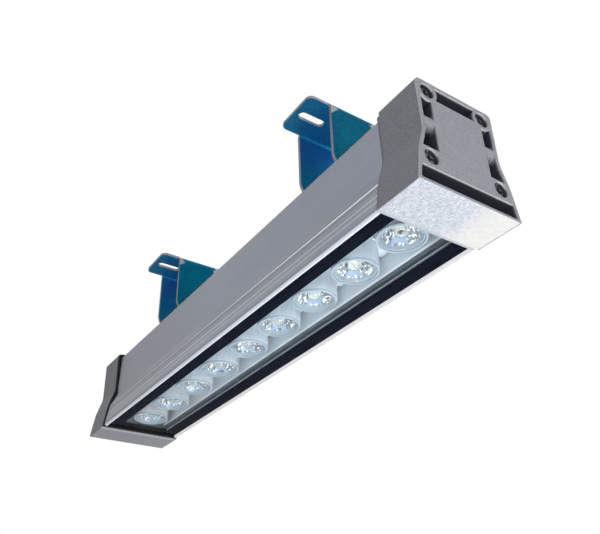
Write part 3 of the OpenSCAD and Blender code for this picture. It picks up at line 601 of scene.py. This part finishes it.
def board_look():
    """White circuit board with faint copper tracks, a painted shadow beside each lens and a dark painted
    reflection toward the far end.
    """
    look = Look("white_board", rough=0.35)
    x, y, _ = look.xyz()
    haze = look.noise(2.5 * MM, detail=3)
    mask = look.grade(haze, BOARD_MASK)
    # Painted reflection: the board darkens toward the far end, standing in for a dark reflection in the
    # glass
    mask = look.mix(look.remap(y, *BOARD_REFLECTION_FADE), mask, BOARD_FAR_REFLECTION)
    track = look.band(look.math("ABSOLUTE", x), *TRACK_LINE)
    # Painted shadow: a short dark dash beside each lens, where the gap at the holders' feet shades the
    # board
    shadow_dash = look.all_of(look.band(x, *DASH_ACROSS), look.band(along_pitch(look, y), *DASH_ALONG))
    mask = look.tint(mask, BOARD_TRACK, track, TRACK_SHARE)
    look.set("Base Color", look.tint(mask, BOARD_SHADOW_DASH, shadow_dash, DASH_SHARE))
    look.bump(look.math("ADD", haze, track), 0.15, 0.05 * MM)
    return look.mat


def led_look():
    """White package with a yellow dome."""
    look = Look("led_package", rough=0.3)
    _, _, z = look.xyz()
    dome = look.remap(z, *DOME_START)
    white = look.grade(look.noise(0.3 * MM), PACKAGE_WHITE)
    look.set("Base Color", look.mix(dome, white, PHOSPHOR_DOME))
    return look.mat


# Rubber pieces
CHAMBER_END = ((4.9, 5.2), (16.4, 16.2))
GASKET_FOOT_TOP = (1.7, 1.4)
BEAD_LINE = (16.5, 0.5, 0.1)

GASKET_BLACK = ((0.003, 0.003, 0.004), (0.008, 0.008, 0.009))
GASKET_CHAMBER_PATCH = (0.15, 0.165, 0.19)
# The near gasket is painted grey, lighter than the black far gasket, so its shaded line beside the cap
# hardly shows
GASKET_LIGHTENED = ((0.17, 0.175, 0.20), (0.26, 0.27, 0.30))
GASKET_FOOT = (0.52, 0.56, 0.61)
SEAL_BLACK = ((0.008, 0.008, 0.009), (0.02, 0.02, 0.022))
SEAL_BEAD = (0.66, 0.72, 0.78)
RUBBER_SPECULAR = 0.1


def rubber_look(name, pair, patch, patch_color, rough, grain, strength, **more):
    """Rubber of a fine grain with a patch of another colour, found from the height and the side."""
    look = Look(name, rough=rough, **more)
    noise = look.noise(grain * MM, detail=3)
    look.set("Base Color", look.mix(patch(look, *look.over_face()), look.grade(noise, pair), patch_color))
    look.bump(noise, strength, 0.06 * MM)
    return look.mat


def chamber_end(look, height, side):
    front, sides = CHAMBER_END
    return look.all_of(look.remap(height, *front), look.remap(side, *sides))


def gasket_foot(look, height, _):
    return look.remap(height, *GASKET_FOOT_TOP)


def inner_bead(look, _, side):
    return look.band(side, *BEAD_LINE)


# Name, darkest and lightest colour, roughness, nodes, further settings
PLAIN_LOOKS = (
    ("black_rubber", (0.008, 0.008, 0.009), (0.02, 0.02, 0.022), 0.6,
     ("gland_seal",), {"grain": 0.4, "strength": 0.3}),
    ("dark_screw", (0.05, 0.05, 0.055), (0.13, 0.13, 0.14), 0.35,
     ("cap_screws_near", "cap_screws_far"), {"metal": 0.7, "grain": 0.3}),
    ("zinc_plate", (0.50, 0.51, 0.52), (0.66, 0.66, 0.65), 0.3,
     ("board_screws", "clip_screws", "slot_nuts", "pivot_bolts", "pivot_washers", "spring_washers",
      "pivot_nuts"), {"metal": 0.9, "grain": 0.5}),
    ("stamped_steel", (0.47, 0.48, 0.49), (0.60, 0.61, 0.62), 0.34,
     ("clip_near", "clip_far"), {"metal": 0.9, "grain": 0.3, "stretch": (1, 25, 1)}),
    ("white_nylon", (0.72, 0.72, 0.69), (0.82, 0.82, 0.8), 0.4, ("friction_washers",), {}),
    ("black_nylon", (0.014, 0.014, 0.015), (0.03, 0.03, 0.032), 0.45,
     ("gland_body", "gland_nut", "gland_locknut"), {"grain": 0.35, "strength": 0.25}),
    ("green_board", (0.01, 0.09, 0.04), (0.02, 0.14, 0.06), 0.35, ("driver_board",), {"grain": 0.8}),
    ("ferrite", (0.03, 0.03, 0.032), (0.07, 0.07, 0.075), 0.5, ("driver_transformer",), {}),
    ("capacitor_sleeve", (0.01, 0.015, 0.05), (0.02, 0.03, 0.08), 0.25, ("driver_capacitors",), {}),
    ("black_case", (0.01, 0.01, 0.011), (0.025, 0.025, 0.027), 0.35, ("driver_rectifier",), {}),
    ("green_terminal", (0.02, 0.16, 0.06), (0.04, 0.22, 0.09), 0.4, ("driver_terminal",), {}),
    ("red_insulation", (0.35, 0.01, 0.008), (0.5, 0.02, 0.015), 0.35, ("lead_positive",), {}),
    ("black_insulation", (0.01, 0.01, 0.011), (0.022, 0.022, 0.024), 0.35, ("lead_negative",), {}),
)
# The low index keeps the white surroundings from greying the border in the glass
WINDOW_TINT = (0.98, 1.0, 1.0)
WINDOW_IOR = 1.04


def give(look, *names):
    for name in names:
        mesh = nodes[name].data
        mesh.materials.clear()
        mesh.materials.append(look)


def dress_nodes():
    numbers = range(1, LENS_COUNT + 1)
    give(housing_look(), "housing_profile")
    give(cap_look(), "end_cap_near", "end_cap_far")
    give(film_look(), "bracket_near", "bracket_far")
    give(glass_look("window_glass", WINDOW_TINT, WINDOW_IOR), "front_glass")
    give(holder_look(), *(f"lens_holder_{i}" for i in numbers))
    give(board_look(), "led_board")
    give(led_look(), *(f"led_{i}" for i in numbers))
    # The far gasket is grey where the chamber ends behind the glass
    give(rubber_look("far_gasket_rubber", GASKET_BLACK, chamber_end, GASKET_CHAMBER_PATCH, rough=0.6,
                     grain=0.4, strength=0.3, specular_ior_level=RUBBER_SPECULAR), "gasket_far")
    # Near gasket painted lighter than the far one, to hide its shaded line
    give(rubber_look("lightened_rubber", GASKET_LIGHTENED, gasket_foot, GASKET_FOOT, rough=0.7,
                     grain=0.5, strength=0.15), "gasket_near")
    give(rubber_look("sealing_strip", SEAL_BLACK, inner_bead, SEAL_BEAD, rough=0.55,
                     grain=0.4, strength=0.3, specular_ior_level=RUBBER_SPECULAR), "glass_seal")
    for name, dark, light, rough, names, more in PLAIN_LOOKS:
        give(plain_look(name, dark, light, rough, **more), *names)


def place_in_scene(name, data):
    made = bpy.data.objects.new(name, data)
    bpy.context.scene.collection.objects.link(made)
    return made


# Black border of the glass
BORDER_INNER = 14.1 * MM
BORDER_INSET = 0.1 * MM
BORDER_DEPTH = 0.3 * MM
BORDER_LAYER = 0.06 * MM
BORDER_BLACK = ((0.003, 0.004, 0.009), (0.006, 0.008, 0.014))


def glass_border():
    """The black enamel along both long edges of the glass, at the depth where refraction shows it."""
    look = plain_look("black_enamel", *BORDER_BLACK, 0.5, grain=1.0, strength=0.05,
                      specular_ior_level=0.0)
    outer = glass_high.x - BORDER_INSET
    length = glass_high.y - glass_low.y - 2 * BORDER_INSET
    size = Matrix.Diagonal((outer - BORDER_INNER, length, BORDER_LAYER, 1.0))
    for name, sign in (("glass_border_left", -1), ("glass_border_right", 1)):
        middle = Matrix.Translation((sign * (outer + BORDER_INNER) / 2, (glass_low.y + glass_high.y) / 2,
                                     glass_low.z + BORDER_DEPTH + BORDER_LAYER / 2))
        bm = bmesh.new()
        bmesh.ops.create_cube(bm, size=1.0, matrix=middle @ size)
        mesh = bpy.data.meshes.new(name)
        bm.to_mesh(mesh)
        bm.free()
        mesh.materials.append(look)
        piece = place_in_scene(name, mesh)
        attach(piece, "lamp")


# The lens, with its front at height 0: a collar, a bowl of facets, a dome over the LED, and the chip that
# shows in the dome. Rows are (radius, height) in millimetres.
COLLAR_R = 8.95
COLLAR_DEPTH = 1.2
BOWL = ((8.3, 0.1), (7.7, 1.0), (6.9, 2.1), (5.9, 3.3), (4.8, 4.5), (3.7, 5.6))
BOWL_BACK = ((8.45, COLLAR_DEPTH), (3.9, 9.4))
BOWL_SEGMENTS = 26
BOWL_PUSH = 0.3
BOWL_LIFT = 0.35
BOWL_SEED = 40
CALM_ANGLE = 55
CALM_HALF = 32
DOME_R = 2.8
DOME_FOOT = 5.9
DOME_SPRING = 2.6
DOME_RISE = 1.6
DOME_SEGMENTS = 40
DOME_STEPS = 6
CHIP_R = 1.7
CHIP_FRONT = DOME_FOOT - 0.6
CHIP_BACK = DOME_FOOT - 0.1
CHIP_SEGMENTS = 24


def ring(radius, height, count, turn=0.0):
    return [(radius * math.cos(2 * math.pi * (k + turn) / count),
             radius * math.sin(2 * math.pi * (k + turn) / count), height) for k in range(count)]


def solid_of_rows(name, rows, tips, smooth=False):
    """A closed skin over rows of points, from one tip to the other. Its tips are always shaded round."""
    bm = bmesh.new()
    made = [[bm.verts.new(p) for p in row] for row in rows]
    for row, following in zip(made, made[1:]):
        for k in range(len(row)):
            after = (k + 1) % len(row)
            face = bm.faces.new((row[k], row[after], following[after], following[k]))
            face.smooth = smooth
    for row, apex in zip((made[0], made[-1]), tips):
        tip = bm.verts.new(apex)
        for k in range(len(row)):
            bm.faces.new((row[k], row[(k + 1) % len(row)], tip)).smooth = True
    bmesh.ops.triangulate(bm, faces=[f for f in bm.faces if not f.smooth])
    bmesh.ops.recalc_face_normals(bm, faces=bm.faces)
    bmesh.ops.scale(bm, vec=(MM, MM, MM), verts=bm.verts)
    mesh = bpy.data.meshes.new(name)
    bm.to_mesh(mesh)
    bm.free()
    return mesh


def bowl_mesh(rng):
    """Facets that tilt at random, but for the first and last rows and a calm stretch on one side."""
    rows = []
    for level, (radius, height) in enumerate(BOWL):
        row = []
        for x, y, z in ring(radius, height, BOWL_SEGMENTS, 0.5 * (level % 2)):
            angle = math.degrees(math.atan2(y, x))
            beside = abs((angle - CALM_ANGLE + 180) % 360 - 180)
            push = 0.0
            lift = 0.0
            if beside >= CALM_HALF and level not in (0, len(BOWL) - 1):
                push = rng.uniform(-BOWL_PUSH, BOWL_PUSH)
                lift = rng.uniform(-BOWL_LIFT, BOWL_LIFT)
            row.append((x * (1 + push / radius), y * (1 + push / radius), z + lift))
        rows.append(row)
    rows.reverse()
    outside = ((COLLAR_R, 0.0), (COLLAR_R, COLLAR_DEPTH), *BOWL_BACK)
    rows += [ring(radius, height, BOWL_SEGMENTS) for radius, height in outside]
    return solid_of_rows("lens_bowl", rows, ((0, 0, BOWL[-1][1]), (0, 0, BOWL_BACK[-1][1])))


def dome_mesh():
    rows = [ring(DOME_R, DOME_FOOT, DOME_SEGMENTS), ring(DOME_R, DOME_SPRING, DOME_SEGMENTS)]
    for k in range(1, DOME_STEPS):
        angle = math.pi / 2 * k / DOME_STEPS
        height = DOME_SPRING - DOME_RISE * math.sin(angle)
        rows.append(ring(DOME_R * math.cos(angle), height, DOME_SEGMENTS))
    tips = ((0, 0, DOME_FOOT), (0, 0, DOME_SPRING - DOME_RISE))
    return solid_of_rows("lens_dome", rows, tips, smooth=True)


def chip_mesh():
    rows = [ring(CHIP_R, height, CHIP_SEGMENTS) for height in (CHIP_FRONT, CHIP_BACK)]
    return solid_of_rows("phosphor_spot", rows, ((0, 0, CHIP_FRONT), (0, 0, CHIP_BACK)))


# Flecks on the bowl that paint its reflections and glints, and the shapes of its calm patch of painted
# reflection, its rim and its ring of painted highlight
FACET_CELL = 0.6 * MM
FACET_STRETCH = (1.0, 0.55, 0.6)
FACET_TURN = CALM_ANGLE - 20
BOWL_RIM = (7.2 * MM, 7.5 * MM)
RING_LINE = (3.3 * MM, 0.45 * MM, 0.1 * MM)
PATCH_START = (3.8 * MM, 3.9 * MM)
PATCH_END = (6.7 * MM, 6.6 * MM)
PATCH_SPREAD = (3.9 * MM, 6.6 * MM, 1.7 * MM, 3.6 * MM)
PATCH_EDGE = (0.1 * MM, -0.1 * MM)

FACET_GREY = ((0.15, 0.185, 0.22), (0.29, 0.335, 0.38))
FACET_DARK_REFLECTION = (0.09, 0.12, 0.15)
FACET_GLINT = (0.95, 0.97, 1.0)
FACET_YELLOW_GLINT = (0.95, 0.93, 0.62)
RIM_GREY = (0.26, 0.32, 0.385)
PATCH_REFLECTION = (0.31, 0.41, 0.58)
RING_HIGHLIGHT = (0.42, 0.46, 0.43)
ACRYLIC_TINT = (0.98, 0.99, 0.97)
ACRYLIC_IOR = 1.49
PHOSPHOR = (0.58, 0.56, 0.36)


def facets_look():
    """Crystal-like flecks of painted reflection and glint, with a calm blue patch of painted reflection
    on one side and a pale painted highlight ring round the dome.
    """
    look = Look("lens_facets", rough=0.12, metal=0.1)
    x, y, _ = look.xyz()
    y = along_pitch(look, y)
    squares = look.math("ADD", look.math("MULTIPLY", x, x), look.math("MULTIPLY", y, y))
    radius = look.math("SQRT", squares)
    stretched = look.add("Mapping")
    look.put(stretched.inputs["Vector"], look.place)
    stretched.inputs["Rotation"].default_value[2] = math.radians(FACET_TURN)
    stretched.inputs["Scale"].default_value = FACET_STRETCH
    cells = look.add("TexVoronoi")
    look.put(cells.inputs["Vector"], stretched.outputs[0])
    cells.inputs["Scale"].default_value = 1 / FACET_CELL
    split = look.add("SeparateColor")
    look.put(split.inputs[0], cells.outputs["Color"])
    chance, other_chance, _ = split.outputs

    # The flecks paint the facets' reflections: grey and dark cells, with white and yellow painted glints
    color = look.grade(chance, FACET_GREY, 0.12, 0.62)
    color = look.mix(look.remap(chance, 0.13, 0.11), color, FACET_DARK_REFLECTION)
    color = look.mix(look.remap(chance, 0.77, 0.79), color, FACET_GLINT)
    yellow_glint = look.all_of(look.remap(other_chance, 0.94, 0.96), look.remap(chance, 0.5, 0.52))
    color = look.mix(yellow_glint, color, FACET_YELLOW_GLINT)
    color = look.mix(look.remap(radius, *BOWL_RIM), color, RIM_GREY)

    cos = math.cos(math.radians(CALM_ANGLE))
    sin = math.sin(math.radians(CALM_ANGLE))
    out = look.math("ADD", look.scale(x, cos), look.scale(y, sin))
    over = look.math("ABSOLUTE", look.math("SUBTRACT", look.scale(y, cos), look.scale(x, sin)))
    past_width = look.math("SUBTRACT", over, look.remap(out, *PATCH_SPREAD))
    patch = look.all_of(look.remap(out, *PATCH_START), look.remap(out, *PATCH_END),
                        look.remap(past_width, *PATCH_EDGE))
    # Painted reflection: a calm pale blue patch on one side of the bowl
    color = look.mix(patch, color, PATCH_REFLECTION)
    # Painted highlight: a pale ring round the dome
    look.set("Base Color", look.tint(color, RING_HIGHLIGHT, look.band(radius, *RING_LINE), 0.85))
    return look.mat


def lenses():
    facets = facets_look()
    acrylic = glass_look("clear_acrylic", ACRYLIC_TINT, ACRYLIC_IOR)
    phosphor = Look("phosphor", PHOSPHOR, 0.4).mat
    for i in range(1, LENS_COUNT + 1):
        low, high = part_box(f"lens_{i}")
        place = Matrix.Translation(((low.x + high.x) / 2, (low.y + high.y) / 2, low.z))
        bowl = bowl_mesh(random.Random(BOWL_SEED + i))
        parts = (("bowl", bowl, facets), ("dome", dome_mesh(), acrylic), ("spot", chip_mesh(), phosphor))
        for part, mesh, look in parts:
            mesh.transform(place)
            mesh.materials.append(look)
            piece = place_in_scene(f"lens_{part}_{i}", mesh)
            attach(piece, "lamp")
            if part == "bowl":
                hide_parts(f"lens_{i}")


def area_light(name, place, target, size, level):
    """A square lamp that lights a surface facing it at the target to the given level."""
    away = Vector(place) - Vector(target)
    data = bpy.data.lights.new(name, "AREA")
    data.size = size
    data.energy = level * math.pi ** 2 * away.length_squared
    lamp = place_in_scene(name, data)
    lamp.location = place
    lamp.rotation_euler = away.to_track_quat("Z", "Y").to_euler()
    lamp.visible_camera = False
    return lamp


# What the lamps are aimed at, and the broad lamps by name, place, target, size and level
MIDDLE = (0, MID_Y, FACE_Z / 2)
NEAR_LEFT = (-CAP_HALF, NEAR_END, FACE_Z / 2)
NEAR_FACE = (0, -0.15, FACE_Z)
BROAD_LAMPS = (
    ("key_front", (0.22, -1.0, -0.20), MIDDLE, 0.35, 0.41),
    ("key_below", (0.06, -0.15, -0.34), NEAR_FACE, 0.15, 0.60),
    ("key_above", (0.25, 0.1, 0.9), MIDDLE, 0.5, 0.34),
    ("key_left", (-0.45, -0.50, -0.34), NEAR_LEFT, 0.25, 0.24),
    ("back_fill", (0.7, 0.7, 0.4), MIDDLE, 0.8, 0.35),
)
GLINTS = ((0.55, -0.45, -0.55), (-0.15, -0.75, -0.65), (0.35, 0.15, -0.68), (-0.45, 0.1, -0.62),
          (0.6, -0.9, -0.3))
GLINT_SIZE = 0.05
GLINT_LEVEL = 0.02


def lights():
    """Broad lamps for the form, and small ones for sparkle that don't show through the glass."""
    for lamp in BROAD_LAMPS:
        area_light(*lamp)
    for i, place in enumerate(GLINTS):
        glint = area_light(f"glint_{i}", place, MIDDLE, GLINT_SIZE, GLINT_LEVEL)
        glint.visible_transmission = False


def seen_rays(tree):
    """1 for the rays of the camera, of reflections and of refractions, 0 for those that gather light."""
    path = tree.nodes.new("ShaderNodeLightPath")
    total = path.outputs["Is Camera Ray"]
    for name in ("Is Glossy Ray", "Is Transmission Ray"):
        joined = tree.nodes.new("ShaderNodeMath")
        joined.operation = "MAXIMUM"
        tree.links.new(total, joined.inputs[0])
        tree.links.new(path.outputs[name], joined.inputs[1])
        total = joined.outputs[0]
    return total


def world():
    """White to look at, softer as a source of light."""
    made = bpy.data.worlds.new("studio")
    bpy.context.scene.world = made
    made.use_nodes = True
    tree = made.node_tree
    tree.nodes.clear()
    out = tree.nodes.new("ShaderNodeOutputWorld")
    both = tree.nodes.new("ShaderNodeMixShader")
    tree.links.new(seen_rays(tree), both.inputs[0])
    for socket, color, strength in ((1, SKY_LIGHT_COLOR, SKY_LIGHT), (2, (1, 1, 1, 1), SKY_SEEN)):
        sky = tree.nodes.new("ShaderNodeBackground")
        sky.inputs["Color"].default_value = color
        sky.inputs["Strength"].default_value = strength
        tree.links.new(sky.outputs[0], both.inputs[socket])
    tree.links.new(both.outputs[0], out.inputs[0])


def floor():
    """A pale plane that glows for seen rays only."""
    look = Look("pale_floor", FLOOR_COLOR, 0.8)
    glow = look.add("Emission")
    look.put(glow.inputs["Strength"], look.scale(seen_rays(look.tree), FLOOR_GLOW))
    both = look.add("AddShader")
    look.put(both.inputs[0], look.shader.outputs[0])
    look.put(both.inputs[1], glow.outputs[0])
    look.put(look.out.inputs[0], both.outputs[0])
    corners = ((-1, -1), (1, -1), (1, 1), (-1, 1))
    mesh = bpy.data.meshes.new("floor")
    mesh.from_pydata([(x * FLOOR_HALF, y * FLOOR_HALF, FLOOR_Z) for x, y in corners], [], [(0, 1, 2, 3)])
    mesh.materials.append(look.mat)
    place_in_scene("floor", mesh)


def camera():
    data = bpy.data.cameras.new("photo_camera")
    data.lens = CAMERA_LENS
    data.sensor_width = CAMERA_SENSOR
    data.clip_start, data.clip_end = CAMERA_RANGE
    made = place_in_scene("photo_camera", data)
    made.location = CAMERA_PLACE
    made.rotation_euler = Euler([math.radians(a) for a in CAMERA_TURN], "XYZ")
    bpy.context.scene.camera = made


camera()
world()
floor()
lights()
dress_nodes()
glass_border()
lenses()
bpy.context.scene.view_settings.view_transform = "Standard"
